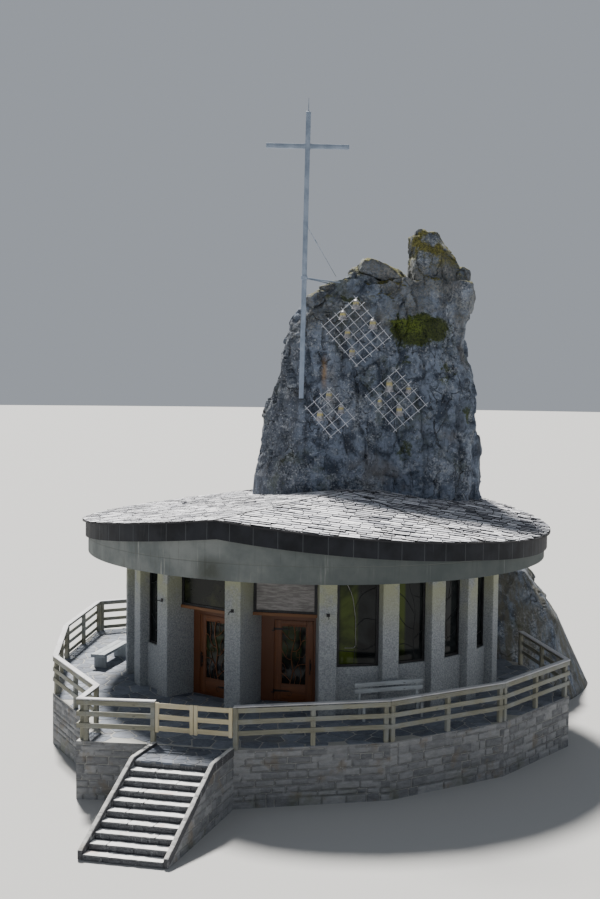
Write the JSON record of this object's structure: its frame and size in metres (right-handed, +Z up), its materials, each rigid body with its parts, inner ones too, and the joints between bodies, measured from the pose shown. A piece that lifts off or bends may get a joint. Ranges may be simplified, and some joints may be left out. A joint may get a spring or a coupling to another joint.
{
  "type": "small chapel",
  "caption": "Round chapel on a stone terrace at the foot of a tall rock, with slate roof, radial piers, two doors, timber fence with gate, stair, cross mast and chime bells.",
  "frame": {"origin": "centre of the round plan, on the level of the stair foot", "axes": "+Z up, -Y towards the entrance side, +X to the right of someone who faces the doors"},
  "size_m": [16.8749, 19.8081, 18.6993],
  "materials": {
    "bench_wood": "weathered planks",
    "bronze": "pale cast bronze",
    "concrete": "fair-faced concrete, streaked",
    "cross_steel": "weathered blue-grey steel",
    "dark_steel": "black painted steel",
    "deck_wood": "roof boards",
    "door_wood": "red-brown oiled timber",
    "fascia_metal": "dark sheet metal",
    "fence_wood": "weathered larch",
    "gate_wood": "newer larch",
    "glass": "dark window glass",
    "lattice_metal": "dull metal bars",
    "lintel_wood": "orange-brown oiled timber",
    "paving": "irregular slate paving",
    "rock": "weathered limestone",
    "roughcast": "roughcast render",
    "rubble": "coursed rubble stone",
    "slate": "split slate"
  },
  "bodies": {
    "root": {"bell_lattice_left": "lattice_metal", "bell_lattice_right": "lattice_metal", "bell_lattice_top": "lattice_metal", "bells_left": "bronze", "bells_right": "bronze", "bells_top": "bronze", "bench_left": "bench_wood", "bench_right": "bench_wood", "ceiling_slab": "concrete", "cross_arm": "cross_steel", "cross_mast": "cross_steel", "door_left_frame": "door_wood", "door_pintles": "dark_steel", "door_right_frame": "door_wood", "fascia_band": "fascia_metal", "fence_front": "fence_wood", "fence_front_left": "fence_wood", "fence_left": "fence_wood", "fence_rear": "fence_wood", "fence_right": "fence_wood", "gate_pintles": "dark_steel", "lightning_rod": "cross_steel", "lintel_boards": "lintel_wood", "mast_collar": "cross_steel", "mast_shoe": "cross_steel", "mast_stay": "cross_steel", "pier_hooks": "dark_steel", "piers_front": "roughcast", "piers_left": "roughcast", "piers_right": "roughcast", "ring_beam": "concrete", "rock": "rock", "roof_deck": "deck_wood", "rubble_wall_left": "rubble", "rubble_wall_right": "rubble", "sill_walls": "roughcast", "slate_roof": "slate", "stair_kerbs": "paving", "stair_landing": "paving", "stair_risers": "paving", "stair_treads": "paving", "terrace_platform": "paving", "transom_frames": "dark_steel", "transom_glass": "glass", "window_frames": "dark_steel", "window_glass": "glass"},
    "door_left": {"door_left_glass": "glass", "door_left_ironwork": "dark_steel", "door_left_timber": "door_wood", "door_left_tracery": "door_wood"},
    "door_right": {"door_right_glass": "glass", "door_right_ironwork": "dark_steel", "door_right_timber": "door_wood", "door_right_tracery": "door_wood"},
    "gate_left": {"gate_left_leaf": "gate_wood", "gate_left_straps": "dark_steel"},
    "gate_right": {"gate_right_leaf": "gate_wood", "gate_right_straps": "dark_steel"}
  },
  "joints": [
    {"name": "door_left_hinge", "type": "hinge", "parent": "root", "child": "door_left", "pos_m": [-2.25841, -4.15365, 1.4], "axis": [0, 0, 1], "range_deg": [0, 90]},
    {"name": "door_right_hinge", "type": "hinge", "parent": "root", "child": "door_right", "pos_m": [-1.0791, -4.19137, 1.4], "axis": [0, 0, -1], "range_deg": [0, 90]},
    {"name": "gate_left_hinge", "type": "hinge", "parent": "root", "child": "gate_left", "pos_m": [-3.70063, -8.08188, 1.4], "axis": [0, 0, 1], "range_deg": [0, 90]},
    {"name": "gate_right_hinge", "type": "hinge", "parent": "root", "child": "gate_right", "pos_m": [-1.88747, -8.45033, 1.4], "axis": [0, 0, -1], "range_deg": [0, 90]}
  ]
}
